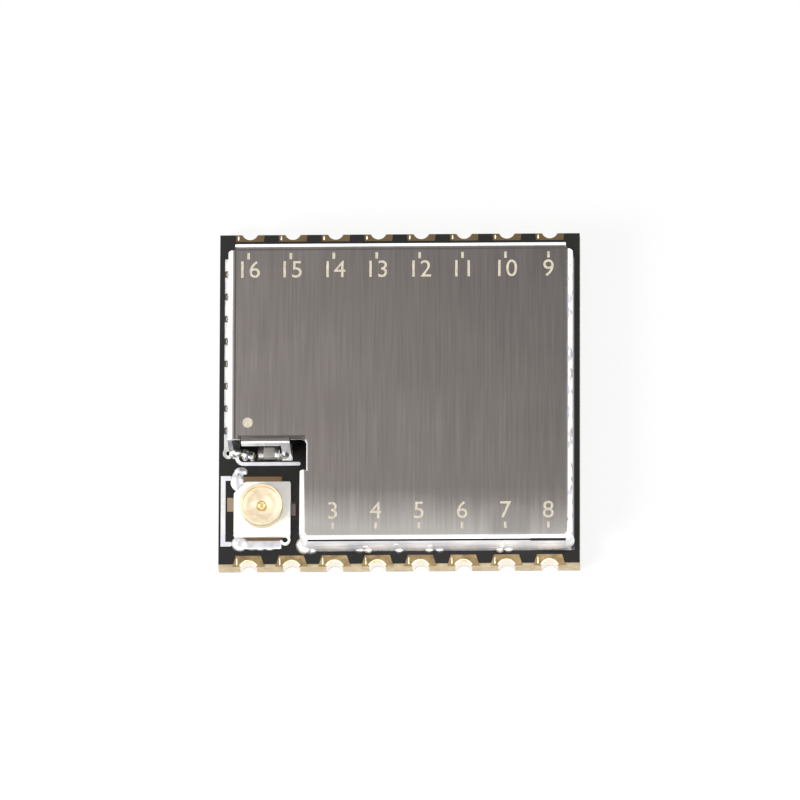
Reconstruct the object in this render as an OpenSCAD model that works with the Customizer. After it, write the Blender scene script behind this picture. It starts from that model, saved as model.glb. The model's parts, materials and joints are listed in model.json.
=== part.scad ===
// Surface-mount radio module: a board with half-hole contacts along two edges, a folded
// shield can that steps back round a coaxial antenna receptacle, and the circuit's parts.
// Millimetres, +Z up. The origin is the middle of the underside, X runs along the rows of
// contacts, and the front row, with the receptacle at its left end, is at -Y.

/* [Board] */
// Width of the board, along its rows of contacts
board_w = 16.8; // [16.5:0.1:17.4]
// Depth of the board, from row to row
board_d = 16; // [15.8:0.1:16.8]
// Thickness of the finished board
board_t = 1; // [0.8:0.05:1.6]
// Thickness of the lands, and of the solder mask beside them
skin_t = 0.04; // [0.03:0.005:0.06]
// Width of bare laminate between the front edge and the solder mask
mask_setback = 0.13; // [0.05:0.01:0.25]

/* [Contacts] */
// Contacts in each row
row_count = 8; // [7:1:8]
// Pitch of the contacts
pad_pitch = 2; // [1.9:0.05:2.05]
// Radius of the plated half hole
hole_r = 0.38; // [0.3:0.01:0.42]
// Distance of the half hole's centre outside the edge
hole_out = 0.14; // [0:0.01:0.2]
// Thickness of the plating in the half holes and vias
plating_t = 0.035; // [0.02:0.005:0.05]
// Width of a front land at the edge
front_land_w = 1.5; // [1.3:0.05:1.6]
// Width of a front land at its inner end
front_land_inner_w = 1.16; // [0.9:0.02:1.25]
// Length of a front land
front_land_l = 0.53; // [0.45:0.01:0.6]
// Width of a rear land at the edge
rear_land_w = 1.34; // [1.2:0.02:1.5]
// Width of a rear land at its inner end
rear_land_inner_w = 1.28; // [1:0.02:1.34]
// Length of a rear land
rear_land_l = 0.32; // [0.28:0.01:0.45]
// Width of the lands on the underside
under_land_w = 1.2; // [1:0.05:1.5]
// Length of the lands on the underside
under_land_l = 1.1; // [0.8:0.05:1.6]

/* [Shield can] */
// Height of the can above the board
can_h = 2.2; // [2:0.05:3]
// Thickness of the can's sheet
sheet_t = 0.2; // [0.15:0.01:0.22]
// Inner radius of the can's bends
bend_r = 0.12; // [0.08:0.01:0.16]
// Gap from the board's left edge to the can
gap_left = 0.48; // [0.42:0.01:0.6]
// Gap from the board's right edge to the can
gap_right = 0.28; // [0.22:0.01:0.4]
// Gap from the board's front edge to the can
gap_front = 0.72; // [0.68:0.01:0.8]
// Gap from the board's rear edge to the can
gap_rear = 0.97; // [0.8:0.01:1.1]
// Distance of the notch's side wall from the board's left edge
notch_from_left = 3.84; // [3.8:0.02:4]
// Distance of the notch's back wall from the board's front edge
notch_from_front = 5.4; // [5.2:0.02:5.6]
// Depth of the lip over the notch's window
lip_drop = 0.68; // [0.5:0.02:0.9]
// Width of the leg beside the window
leg_w = 0.42; // [0.3:0.02:0.5]
// Length of the relief cut along the notch's back wall
relief_back = 0.47; // [0.4:0.01:0.6]
// Length of the relief cut along the notch's side wall
relief_side = 1.32; // [1:0.02:1.5]
// Corner radius of the relief cut
relief_r = 0.26; // [0.15:0.01:0.35]
// Slant of the cuts at the rear ends of the side flaps
corner_slant = 0.2; // [0.1:0.02:0.4]
// Length of the front flap's foot that rises towards the right corner
foot_rise_l = 1.5; // [0.5:0.1:3]
// Height of the front flap's foot at the right corner
foot_rise_h = 0.3; // [0.1:0.02:0.5]

/* [Can land and vias] */
// Reach of the tinned land outside the left flap
land_out_left = 0.24; // [0.2:0.01:0.3]
// Reach of the tinned land outside the right flap
land_out_right = 0.04; // [0.02:0.01:0.16]
// Reach of the tinned land inside the flaps
land_in = 0.3; // [0.2:0.02:0.5]
// Number of vias under the left flap
via_count = 9; // [7:1:9]
// Pitch of the vias
via_pitch = 1.08; // [1:0.02:1.12]
// Radius of a via's hole
via_r = 0.105; // [0.08:0.005:0.12]
// Radius of the tinned ring round the via in the notch's corner
via_ring_r = 0.27; // [0.24:0.01:0.3]
// Distance of the vias from the board's left edge
via_from_left = 0.45; // [0.4:0.01:0.5]

/* [Antenna receptacle] */
// Distance of the receptacle's axis from the board's left edge
jack_from_left = 2.04; // [2:0.02:2.2]
// Distance of the receptacle's axis from the board's front edge
jack_from_front = 2.7; // [2.66:0.02:2.9]
// Side of the receptacle's square housing
jack_side = 2.64; // [2.5:0.02:2.66]
// Thickness of the housing
jack_base_h = 0.36; // [0.3:0.02:0.5]
// Height of the housing's floor inside the ring
jack_floor_h = 0.7; // [0.5:0.05:0.75]
// Cut across the housing's rear left corner, along each side
jack_corner = 0.55; // [0.3:0.05:0.6]
// Height of the receptacle above the board
jack_h = 1.25; // [1.1:0.05:1.4]
// Outer radius of the shell's ring
ring_r = 1; // [0.95:0.01:1.02]
// Wall of the shell's ring
ring_wall = 0.13; // [0.1:0.01:0.16]
// Depth of the groove round the ring, below its lip
groove_depth = 0.05; // [0.03:0.01:0.07]
// Height of the ring's lip
ring_lip_h = 0.42; // [0.3:0.02:0.5]
// Radius of the centre contact
pin_r = 0.23; // [0.2:0.01:0.26]
// Height of the centre contact above the board
pin_h = 1; // [0.8:0.05:1.1]
// Thickness of the metal of the contacts and tabs
strip_t = 0.12; // [0.1:0.01:0.15]
// Width of the ground tabs
tab_w = 1.8; // [1.6:0.05:1.9]
// Reach of the ground tabs beyond the housing
tab_reach = 0.4; // [0.3:0.02:0.46]
// Width of the signal tail
tail_w = 0.8; // [0.5:0.05:0.9]
// Reach of the signal tail beyond the housing
tail_reach = 0.24; // [0.15:0.01:0.26]

/* [Circuit parts] */
// Side of the radio chip
chip_side = 6; // [5:0.5:6]
// Thickness of the radio chip's moulding
chip_h = 0.85; // [0.75:0.05:1]
// Length of the timing crystal
crystal_l = 3.2; // [2.5:0.1:3.4]
// Width of the timing crystal
crystal_w = 2.5; // [2:0.1:2.6]
// Length of a small chip part
small_l = 1; // [0.9:0.02:1.04]
// Width of a small chip part
small_w = 0.5; // [0.45:0.01:0.52]
// Height of a capacitor or inductor
small_h = 0.5; // [0.4:0.01:0.55]
// Height of a resistor
resistor_h = 0.35; // [0.3:0.01:0.4]
// Length of the antenna switch
switch_l = 2; // [1.8:0.1:2]
// Width of the antenna switch
switch_w = 1.25; // [1.1:0.05:1.3]
// Length of the metal ends of a small chip part
end_l = 0.24; // [0.2:0.01:0.26]

/* [Printed marks] */
// Thickness of the print
print_t = 0.02; // [0.015:0.005:0.03]
// Width of the line printed behind the receptacle
print_line_w = 0.17; // [0.12:0.01:0.22]
// Width of the bar printed left of the receptacle
print_bar_w = 0.22; // [0.16:0.01:0.26]

/* [Hidden] */
$fn = 48;
TINY = 0.01;
FAR = 40;

contact_count = 2 * row_count;

board_left = -board_w / 2;
board_front = -board_d / 2;
core_top = board_t - skin_t;
row_x0 = -(row_count - 1) * pad_pitch / 2;

can_left = board_left + gap_left;
can_right = board_w / 2 - gap_right;
can_front = board_front + gap_front;
can_rear = board_d / 2 - gap_rear;
can_top = board_t + can_h;
can_mid = [(can_left + can_right) / 2, (can_front + can_rear) / 2];
bend_out = bend_r + sheet_t;
notch_x = board_left + notch_from_left;
notch_y = board_front + notch_from_front;
leg_x1 = notch_x - relief_back;
leg_x0 = leg_x1 - leg_w;
lip_x0 = can_left + 2 * bend_out;
side_flap_end = notch_y - relief_side;
// The lid runs past the bend line where no flap hangs from it
lid_lip = 0.15;

via_x = board_left + via_from_left;
// The first via is in the open, just behind the notch's back wall
via_y0 = notch_y + 0.06;
via_drill_r = via_r + plating_t;

jack = [board_left + jack_from_left, board_front + jack_from_front];
ring_bore_r = ring_r - ring_wall;
jack_half = jack_side / 2;
// Land beyond the front tab, and beyond the rear tab and the tail
land_margin = 0.16;
land_margin_small = 0.03;
// Land to each side of a tab or tail
land_side = 0.04;
// Land left of the housing, as a width and a depth
side_land = [0.32, 0.66];

// Lands of the small parts: the gap between a pair, and their reach beyond the part
small_land_gap = 0.44;
small_land_reach = 0.14;
filter_land_reach = 0.06;
// The ceramic is this much smaller all round than its metal ends
body_inset = 0.015;

// Places of the small parts: x, y and turn. Those in a row beside a wall keep to that wall
rear_row = can_rear - 1.555;
right_row = can_right - 2.02;
capacitor_places = concat(
    [for (x = [-1.4, 0.4, 2.2, 4]) [can_mid.x + x, rear_row, 0]],
    [for (y = [4.2, 2.6, 1, -0.6]) [right_row, can_mid.y + y, 90]],
    [for (p = [[-3.2, 0.6, 90], [-4.6, 0, 0], [2.2, -2.9, 0]]) [can_mid.x + p.x, can_mid.y + p.y, p.z]],
    [[can_left + 1.42, can_mid.y + 0.2, 90]]
);
inductor_places = concat(
    [for (x = [3.06, 4.06, 5.06]) [notch_x + x, can_front + 2.955, 90]],
    [[can_left + 1.62, can_mid.y + 2.4, 90], [can_mid.x - 2.2, can_mid.y - 2.7, 90]]
);
resistor_places = concat(
    [for (x = [5.82, 4.12, 2.42]) [can_right - x, can_front + 3.155, 0]],
    [for (x = [4.12, 2.42]) [can_right - x, can_front + 1.755, 0]],
    [[can_left + 2.82, rear_row, 0]]
);
chip_at = can_mid + [1.6, 1];
crystal_at = [can_left + 4.02, can_rear - 3.855];
switch_at = [notch_x + 1.46, can_front + 2.155];

// The capacitor and the inductor that stand in the notch's window
filter_cap_at = [notch_x - 1.48, notch_y - 0.02];
filter_ind_at = [notch_x - 2.47, notch_y - 0.06];
filter_ind_turn = -18;
filter_ind_l = 0.56;
filter_ind_w = 0.36;
filter_ind_h = 0.36;

// Solder joints along the front wall: distance from the can's middle
front_joints = [-1.9, -1.5, -0.1, 1.3, 1.8, 4.6, 5];
joint_r = 0.2;
corner_joint_r = 0.38;
leg_joint_r = 0.26;
// Fillets along the side walls: their clear ends, and how high they climb
seam_end = 0.8;
seam_rise = 0.16;
seam_reach_left = 0.1;
seam_reach_right = 0.04;

// Radio chip: terminals on a side, their pitch, width, length and thickness
chip_side_leads = 7;
chip_lead_pitch = 0.65;
chip_lead_w = 0.3;
chip_lead_l = 0.5;
chip_lead_t = 0.05;
// Timing crystal: height of its base and cap, and its four lands
crystal_base_h = 0.5;
crystal_cap_h = 0.2;
crystal_land = [0.34 * crystal_l, 0.38 * crystal_w];
crystal_land_reach = 0.1;
// Antenna switch: pitch, width and thickness of its leads, their spread and their lands' reach
switch_lead_pitch = 0.65;
switch_lead_w = 0.22;
switch_lead_t = 0.12;
switch_lead_reach = 0.52;
switch_land_reach = 0.08;
switch_land_side = 0.05;

// Outlines

module slab(l, w, r) {
    // A rectangle with round corners, centred
    square([l - 2 * r, w], center = true);
    square([l, w - 2 * r], center = true);
    for (x = [-1, 1], y = [-1, 1]) translate([x * (l / 2 - r), y * (w / 2 - r)]) circle(r);
}

module land_outline(edge_w, inner_w, l) {
    // Sides that draw in towards the land's inner end, with y from the board's edge inwards
    polygon([[-edge_w / 2, 0], [edge_w / 2, 0], [inner_w / 2, l], [-inner_w / 2, l]]);
}

module at_contact(i) {
    // Contact 1 is at the front left, and the count runs round anticlockwise
    front = i <= row_count;
    k = front ? i - 1 : contact_count - i;
    translate([row_x0 + k * pad_pitch, front ? board_front : -board_front, 0])
        mirror([0, front ? 0 : 1, 0]) children();
}

module top_land(i) {
    if (i <= row_count) land_outline(front_land_w, front_land_inner_w, front_land_l);
    else land_outline(rear_land_w, rear_land_inner_w, rear_land_l);
}

module under_land() {
    land_outline(under_land_w, under_land_w, under_land_l);
}

module board_outline() {
    square([board_w, board_d], center = true);
}

module contact_holes(r) {
    for (i = [1:contact_count]) at_contact(i) translate([0, -hole_out]) circle(r);
}

module at_vias() {
    for (k = [0:via_count - 1]) translate([via_x, via_y0 + k * via_pitch]) children();
}

module box2(x0, y0, x1, y1) {
    translate([x0, y0]) square([x1 - x0, y1 - y0]);
}

module shield_land_outline() {
    wide = sheet_t + land_in;
    leg_front = 0.3;
    leg_side = 0.06;
    lobe = 0.3;
    difference() {
        union() {
            box2(can_left - land_out_left, via_y0, can_left + wide, can_rear - corner_slant);
            box2(can_right - wide, can_front, can_right + land_out_right, can_rear - corner_slant);
            box2(can_left + bend_out, can_rear - wide, can_right - bend_out, can_rear);
            box2(notch_x + bend_out, can_front, can_right - bend_out, can_front + wide);
            box2(notch_x, can_front, notch_x + wide, side_flap_end);
            box2(leg_x0, notch_y - leg_front, leg_x1 + leg_side, notch_y + wide);
            for (x = [0, lobe]) translate([via_x + x, via_y0]) circle(via_ring_r);
        }
        at_vias() circle(via_drill_r);
    }
}

module small_lands(l, w, reach, gap) {
    for (s = [-1, 1])
        translate([s * (l / 2 + reach + gap / 2) / 2, 0])
            square([l / 2 + reach - gap / 2, w], center = true);
}

module at_places(places) {
    for (p = places) translate([p.x, p.y, 0]) rotate(p.z) children();
}

module component_lands_outline() {
    at_places(capacitor_places) small_lands(small_l, small_w, small_land_reach, small_land_gap);
    at_places(inductor_places) small_lands(small_l, small_w, small_land_reach, small_land_gap);
    at_places(resistor_places) small_lands(small_l, small_w, small_land_reach, small_land_gap);
    translate(filter_cap_at) small_lands(small_l, small_w, filter_land_reach, small_land_gap);
    translate(filter_ind_at) rotate(filter_ind_turn)
        small_lands(filter_ind_l, filter_ind_w, filter_land_reach, filter_ind_l / 3);
    translate(chip_at) chip_leads_outline(0.1 * chip_lead_l);
    translate(crystal_at) crystal_lands_outline();
    translate(switch_at) switch_lands_outline();
}

module receptacle_lands_outline() {
    translate(jack) {
        half_w = tab_w / 2 + land_side;
        box2(-half_w, -jack_half - tab_reach - land_margin, half_w, -jack_half + strip_t);
        box2(-half_w, jack_half - strip_t, half_w, jack_half + tab_reach + land_margin_small);
        box2(jack_half - strip_t, -tail_w / 2 - land_side,
             jack_half + tail_reach + land_margin_small, tail_w / 2 + land_side);
        box2(-jack_half - side_land.x, -land_side, -jack_half + strip_t, side_land.y - land_side);
    }
}

// Board

module board() {
    color("#b9a27c") translate([0, 0, skin_t]) linear_extrude(board_t - 2 * skin_t)
        difference() {
            board_outline();
            contact_holes(hole_r + plating_t);
            at_vias() circle(via_drill_r);
        }
}

module solder_mask_top() {
    color("#24221e") translate([0, 0, core_top]) linear_extrude(skin_t)
        difference() {
            box2(board_left, board_front + mask_setback, -board_left, -board_front);
            contact_holes(hole_r + plating_t);
            for (i = [1:contact_count]) at_contact(i) top_land(i);
            shield_land_outline();
            at_vias() circle(via_drill_r);
            component_lands_outline();
            receptacle_lands_outline();
        }
}

module solder_mask_bottom() {
    color("#24221e") linear_extrude(skin_t)
        difference() {
            board_outline();
            contact_holes(hole_r + plating_t);
            for (i = [1:contact_count]) at_contact(i) under_land();
        }
}

module castellation(i) {
    barrel_r = hole_r + plating_t;
    color("#cdb285") at_contact(i) difference() {
        union() {
            translate([0, 0, core_top]) linear_extrude(skin_t) top_land(i);
            linear_extrude(skin_t) under_land();
            linear_extrude(board_t) intersection() {
                translate([0, -hole_out]) circle(barrel_r);
                box2(-FAR, 0, FAR, FAR);
            }
        }
        translate([0, -hole_out, -TINY]) cylinder(r = hole_r, h = board_t + 2 * TINY);
    }
}

module ground_vias() {
    color("#c9c9c7") at_vias() translate([0, 0, skin_t]) linear_extrude(board_t - skin_t)
        difference() {
            circle(via_drill_r);
            circle(via_r);
        }
}

module shield_land() {
    color("#d9d9d6") translate([0, 0, core_top]) linear_extrude(skin_t) shield_land_outline();
}

module component_lands() {
    color("#cdb285") translate([0, 0, core_top]) linear_extrude(skin_t) component_lands_outline();
}

module receptacle_lands() {
    color("#cdb285") translate([0, 0, core_top]) linear_extrude(skin_t) receptacle_lands_outline();
}

module printed_marks() {
    // Bar with two feet, left of the receptacle
    bar_x = board_left + 0.1;
    bar_y0 = jack.y - jack_half - tab_reach;
    bar_y1 = jack.y + jack_half + 0.34;
    foot = 0.42;
    // Line behind the receptacle, with its left end turned back
    line_setback = 0.46;
    line_y = notch_y - line_setback;
    curve_r = 0.32;
    line_x0 = via_x + 0.71;
    line_x1 = notch_x - 0.12;
    color("white") translate([0, 0, board_t]) linear_extrude(print_t) {
        box2(bar_x, bar_y0, bar_x + print_bar_w, bar_y1);
        for (y = [bar_y0, bar_y1 - print_bar_w]) {
            box2(bar_x, y, bar_x + foot, y + print_bar_w);
            translate([bar_x + foot, y + print_bar_w / 2]) circle(print_bar_w / 2);
        }
        box2(line_x0, line_y - print_line_w / 2, line_x1, line_y + print_line_w / 2);
        translate([line_x1, line_y]) circle(print_line_w / 2);
        // Its left end curves back towards the can
        translate([line_x0, line_y + curve_r]) {
            intersection() {
                difference() {
                    circle(curve_r + print_line_w / 2);
                    circle(curve_r - print_line_w / 2);
                }
                box2(-FAR, -FAR, 0, 0);
            }
            translate([-curve_r, 0]) circle(print_line_w / 2);
        }
    }
}

// Shield can

module flap_profile(drop) {
    // Quarter bend and hanging wall: x outwards from the bend line, y is the height.
    // The profile starts inside the lid, so that lid and flap are one sheet
    box2(-sheet_t / 2, can_top - sheet_t, 0, can_top);
    translate([0, can_top - bend_out]) intersection() {
        difference() {
            circle(bend_out);
            circle(bend_r);
        }
        square(bend_out);
    }
    box2(bend_r, can_top - drop, bend_out, can_top - bend_out);
}

module flap(at, turn, run, drop = can_h) {
    // A flap that faces local +X and runs along local +Y
    translate([at.x, at.y, 0]) rotate(turn) translate([0, run, 0]) rotate([90, 0, 0])
        linear_extrude(run) flap_profile(drop);
}

module lid_outline() {
    difference() {
        box2(can_left + bend_out, can_front + bend_out, can_right - bend_out, can_rear - bend_out);
        box2(-FAR, -FAR, leg_x1, notch_y + bend_out);
        difference() {
            box2(-FAR, -FAR, notch_x + bend_out, notch_y + bend_out - lid_lip);
            translate([notch_x + bend_out - relief_r, notch_y + bend_out - lid_lip - relief_r])
                difference() {
                    square(relief_r);
                    circle(relief_r);
                }
        }
    }
    // Corner of the lid between the left flap and the lip
    box2(can_left + bend_out, notch_y + bend_out - lid_lip, lip_x0, notch_y + 2 * bend_out);
}

module side_flap_cut(at, flip) {
    // Cuts a side flap's rear end at a slant, seen from above
    translate([at.x, at.y, 0]) mirror([flip, 0, 0]) linear_extrude(FAR)
        polygon([[0, 0], [0, bend_out], [-2 * bend_out, bend_out],
                 [-2 * bend_out, -2 * corner_slant]]);
}

module shield_can() {
    lid_left = can_left + bend_out;
    lid_right = can_right - bend_out;
    lid_front = can_front + bend_out;
    lid_rear = can_rear - bend_out;
    notch_back = notch_y + bend_out;
    notch_side = notch_x + bend_out;
    left_front = notch_back - lid_lip;
    color("#a7a3a0") {
        translate([0, 0, can_top - sheet_t]) linear_extrude(sheet_t) lid_outline();
        // Rear and front flaps
        flap([lid_right, lid_rear], 90, lid_right - lid_left);
        difference() {
            flap([notch_side, lid_front], -90, lid_right - notch_side);
            translate([lid_right, can_front + FAR / 2, board_t]) rotate([90, 0, 0])
                linear_extrude(FAR) polygon([[-foot_rise_l, 0], [TINY, foot_rise_h], [TINY, 0]]);
        }
        // Left and right flaps, with slanted rear ends
        difference() {
            flap([lid_left, lid_rear], 180, lid_rear - left_front);
            side_flap_cut([lid_left, lid_rear], 0);
        }
        difference() {
            flap([lid_right, lid_front], 0, lid_rear - lid_front);
            side_flap_cut([lid_right, lid_rear], 1);
        }
        // Lip over the window and its leg, then the notch's side wall
        flap([lip_x0, notch_back], -90, leg_x1 - lip_x0, lip_drop);
        flap([leg_x0, notch_back], -90, leg_w);
        flap([notch_side, side_flap_end], 180, side_flap_end - lid_front);
    }
}

// Solder joints of the can

module joint(x, y, r, sink) {
    // A drop of solder on the land, wetted up the wall behind it
    translate([x, y, board_t - sink]) sphere(r, $fn = 32);
}

module seam(x0, y0, length, turn, reach, rise) {
    // A hollow fillet that runs along local +Y, against the wall on its local -X side
    translate([x0, y0, board_t]) rotate(turn) translate([0, length, 0]) rotate([90, 0, 0])
        linear_extrude(length) difference() {
            polygon([[0, 0], [reach, 0], [reach, rise / 3], [0, rise]]);
            translate([reach * 1.1, rise * 1.05]) circle(min(reach, rise) * 0.8);
        }
}

module shield_solder() {
    fill_r = bend_out - body_inset;
    color("#e4e4e2") difference() {
        union() {
            // Front wall, in short drops
            for (x = front_joints) joint(can_mid.x + x, can_front + joint_r / 5, joint_r, joint_r / 10);
            // Front left corner, leg of the window and the end of the left wall
            joint(notch_x + sheet_t / 2, can_front + bend_out, corner_joint_r, corner_joint_r / 8);
            joint(notch_x + bend_out, can_front + sheet_t, corner_joint_r, 0);
            joint(leg_x0 + leg_w / 2, notch_y, leg_joint_r, leg_joint_r / 6);
            joint(can_left + bend_out, via_y0 + sheet_t, joint_r, joint_r / 2);
            // Front right corner, filled from the board to the bend
            translate([can_right - bend_out, can_front + bend_out, board_t])
                linear_extrude(can_h - bend_out / 2) intersection() {
                    difference() {
                        circle(fill_r);
                        circle(bend_r);
                    }
                    box2(0, -FAR, FAR, 0);
                }
            // Left and right walls
            seam(can_left, can_rear - seam_end, can_rear - via_y0 - 2 * seam_end, 180,
                 seam_reach_left, seam_rise);
            seam(can_right, can_front + seam_end, can_rear - can_front - 2 * seam_end, 0,
                 seam_reach_right, seam_rise / 2);
        }
        translate([0, 0, board_t - FAR]) linear_extrude(FAR) board_outline();
        shield_can();
    }
}

// Antenna receptacle

module shell_form() {
    lip_z = jack_h - ring_lip_h;
    edge = 0.05;
    tail_gap = 0.1;
    translate([jack.x, jack.y, board_t]) {
        difference() {
            union() {
                translate([0, 0, lip_z]) cylinder(r = ring_r, h = ring_lip_h - edge);
                translate([0, 0, jack_h - edge]) cylinder(r1 = ring_r, r2 = ring_r - edge, h = edge);
                translate([0, 0, strip_t * 2]) cylinder(r = ring_r - groove_depth, h = lip_z);
                // Feet of the ring, over the tabs
                intersection() {
                    cylinder(r = ring_r - groove_depth, h = strip_t * 3);
                    translate([-tab_w / 2, -FAR / 2, 0]) cube([tab_w, FAR, FAR]);
                }
                // Ground tabs
                for (s = [-1, 1])
                    translate([-tab_w / 2, s * (jack_half + tab_reach) - (s > 0 ? jack_half : 0), 0])
                        cube([tab_w, jack_half, strip_t]);
            }
            translate([0, 0, -TINY]) cylinder(r = ring_bore_r, h = jack_h + 2 * TINY);
            // Way out for the signal tail
            translate([0, -tail_w / 2 - tail_gap, -TINY])
                cube([FAR, tail_w + 2 * tail_gap, strip_t * 2]);
        }
    }
}

module contact_form() {
    translate([jack.x, jack.y, board_t]) {
        cylinder(r = pin_r, h = pin_h - pin_r / 2);
        translate([0, 0, pin_h - pin_r / 2]) cylinder(r1 = pin_r, r2 = pin_r / 2, h = pin_r / 2);
        translate([0, -tail_w / 2, 0]) cube([jack_half + tail_reach, tail_w, strip_t]);
    }
}

module receptacle_shell() {
    color("#d8c296") shell_form();
}

module receptacle_contact() {
    color("#d9b25f") contact_form();
}

module receptacle_housing() {
    round_r = 0.08;
    foot_r = 0.25;
    foot_hole_r = 0.11;
    color("#f4efe4") difference() {
        translate([jack.x, jack.y, board_t]) {
            linear_extrude(jack_base_h) difference() {
                slab(jack_side, jack_side, round_r);
                // One corner is cut off, to show which way round the housing goes
                translate([-jack_half, jack_half]) rotate(45)
                    square(jack_corner * sqrt(2), center = true);
            }
            // Floor inside the ring, round the centre contact
            cylinder(r = ring_bore_r, h = jack_floor_h);
            // Small hooked foot at the front right corner
            translate([jack_half - foot_r, -jack_half - foot_r / 2]) linear_extrude(jack_base_h / 2)
                difference() {
                    circle(foot_r);
                    circle(foot_hole_r);
                    box2(-foot_r, -foot_r / 3, 0, FAR);
                }
        }
        shell_form();
        contact_form();
    }
}

module receptacle_solder() {
    // Drops on the rear tab, on the front tab, along the front tab's end and on the tail
    rear_r = 0.34;
    front_r = 0.3;
    end_r = 0.2;
    tail_r = 0.16;
    sink = 0.02;
    x0 = -tab_w / 2 + end_r / 2;
    color("#e4e4e2") difference() {
        translate([jack.x, jack.y, board_t]) {
            translate([x0, jack_half + rear_r / 2, sink]) sphere(rear_r, $fn = 32);
            translate([x0, -jack_half - front_r * 0.8, 0]) sphere(front_r, $fn = 32);
            for (x = [-0.5, -0.1, 0.3])
                translate([x, -jack_half - tab_reach + 0.3 * end_r, -sink]) sphere(end_r, $fn = 32);
            translate([jack_half + tail_reach, 0, -sink]) sphere(tail_r, $fn = 32);
        }
        translate([0, 0, board_t - FAR]) linear_extrude(FAR) board_outline();
        shell_form();
        contact_form();
        receptacle_housing();
    }
}

// Circuit parts

module small_body(l, w, h) {
    // Ceramic between the two metal ends
    body_l = l - 2 * end_l;
    translate([0, 0, board_t + body_inset]) linear_extrude(h - 2 * body_inset)
        square([body_l, w - 2 * body_inset], center = true);
}

module small_ends(l, w, h) {
    round_r = 0.05;
    translate([0, 0, board_t]) linear_extrude(h) difference() {
        slab(l, w, round_r);
        square([l - 2 * end_l, FAR], center = true);
    }
}

module filter_capacitor_body() {
    color("#8f7f73") translate(filter_cap_at) small_body(small_l, small_w, small_h);
}

module filter_capacitor_ends() {
    color("#e8e8e6") translate(filter_cap_at) small_ends(small_l, small_w, small_h);
}

module filter_inductor_body() {
    color("#5a5f66") translate(filter_ind_at) rotate(filter_ind_turn)
        small_body(filter_ind_l, filter_ind_w, filter_ind_h);
}

module filter_inductor_ends() {
    color("#e8e8e6") translate(filter_ind_at) rotate(filter_ind_turn)
        small_ends(filter_ind_l, filter_ind_w, filter_ind_h);
}

module end_fillets(l, w, h) {
    // Hollow fillets from the land up the ends of a small part
    climb = 0.7 * h;
    for (s = [0, 1]) mirror([s, 0, 0]) translate([l / 2, w / 2, board_t]) rotate([90, 0, 0])
        linear_extrude(w) difference() {
            polygon([[0, 0], [filter_land_reach, 0], [0, climb]]);
            translate([filter_land_reach * 1.3, 0.6 * h]) circle(filter_land_reach);
        }
}

module filter_solder() {
    color("#e4e4e2") {
        translate(filter_cap_at) end_fillets(small_l, small_w, small_h);
        translate(filter_ind_at) rotate(filter_ind_turn)
            end_fillets(filter_ind_l, filter_ind_w, filter_ind_h);
    }
}

module at_chip_leads() {
    for (side = [0:3], k = [0:chip_side_leads - 1]) rotate(90 * side)
        translate([(k - (chip_side_leads - 1) / 2) * chip_lead_pitch, chip_side / 2]) children();
}

module chip_leads_outline(reach) {
    // The terminals, and the large ground pad between them
    pad_gap = chip_lead_l;
    at_chip_leads() box2(-chip_lead_w / 2, -chip_lead_l, chip_lead_w / 2, reach);
    square(chip_side - 2 * (chip_lead_l + pad_gap), center = true);
}

module at_chip(z) {
    translate([chip_at.x, chip_at.y, board_t + z]) children();
}

module radio_chip_leads() {
    color("#d9d9d6") at_chip(0) linear_extrude(chip_lead_t) chip_leads_outline(0);
}

module radio_chip() {
    edge_r = 0.06;
    mark_r = 0.25;
    mark_inset = 0.7;
    mark_depth = 0.05;
    color("#2c2c2e") at_chip(chip_lead_t) difference() {
        linear_extrude(chip_h) slab(chip_side, chip_side, edge_r);
        // Round dimple that shows terminal 1
        translate([-chip_side / 2 + mark_inset, chip_side / 2 - mark_inset, chip_h - mark_depth])
            cylinder(r = mark_r, h = 1);
    }
}

module at_crystal(z) {
    translate([crystal_at.x, crystal_at.y, board_t + z]) children();
}

module at_crystal_corners(inset) {
    for (x = [-1, 1], y = [-1, 1])
        translate([x * (crystal_l / 2 - inset.x), y * (crystal_w / 2 - inset.y)]) children();
}

module crystal_lands_outline() {
    inset = crystal_land / 2 - [1, 1] * crystal_land_reach;
    at_crystal_corners(inset) square(crystal_land, center = true);
}

module crystal_base() {
    edge_r = 0.1;
    notch_r = 0.2;
    color("#8a7f72") at_crystal(0) linear_extrude(crystal_base_h) difference() {
        slab(crystal_l, crystal_w, edge_r);
        at_crystal_corners([0, 0]) circle(notch_r);
    }
}

module crystal_cap() {
    rim = 0.2;
    edge_r = 0.15;
    color("#c8c6c0") at_crystal(crystal_base_h) linear_extrude(crystal_cap_h)
        slab(crystal_l - 2 * rim, crystal_w - 2 * rim, edge_r);
}

module at_switch(z) {
    translate([switch_at.x, switch_at.y, board_t + z]) children();
}

module at_switch_leads() {
    for (s = [0, 1], k = [-1, 0, 1])
        rotate(180 * s) translate([k * switch_lead_pitch, switch_w / 2, 0]) children();
}

module switch_lands_outline() {
    half = switch_lead_w / 2 + switch_land_side;
    at_switch_leads() box2(-half, switch_land_reach, half, switch_lead_reach + switch_land_reach);
}

module antenna_switch() {
    standoff = 0.05;
    body_h = 0.9;
    edge_r = 0.05;
    color("#2c2c2e") at_switch(standoff) linear_extrude(body_h) slab(switch_l, switch_w, edge_r);
}

module antenna_switch_leads() {
    // Each lead leaves the moulding at half height and steps down to its land
    exit_z = 0.42;
    shoulder = 0.22;
    foot = 0.3;
    color("#d9d9d6") at_switch(0) at_switch_leads() translate([-switch_lead_w / 2, 0, 0])
        rotate([90, 0, 90]) linear_extrude(switch_lead_w)
            polygon([[0, exit_z], [shoulder, exit_z], [foot, 0], [switch_lead_reach, 0],
                     [switch_lead_reach, switch_lead_t], [foot + switch_land_reach, switch_lead_t],
                     [foot, exit_z + switch_lead_t], [0, exit_z + switch_lead_t]]);
}

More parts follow.
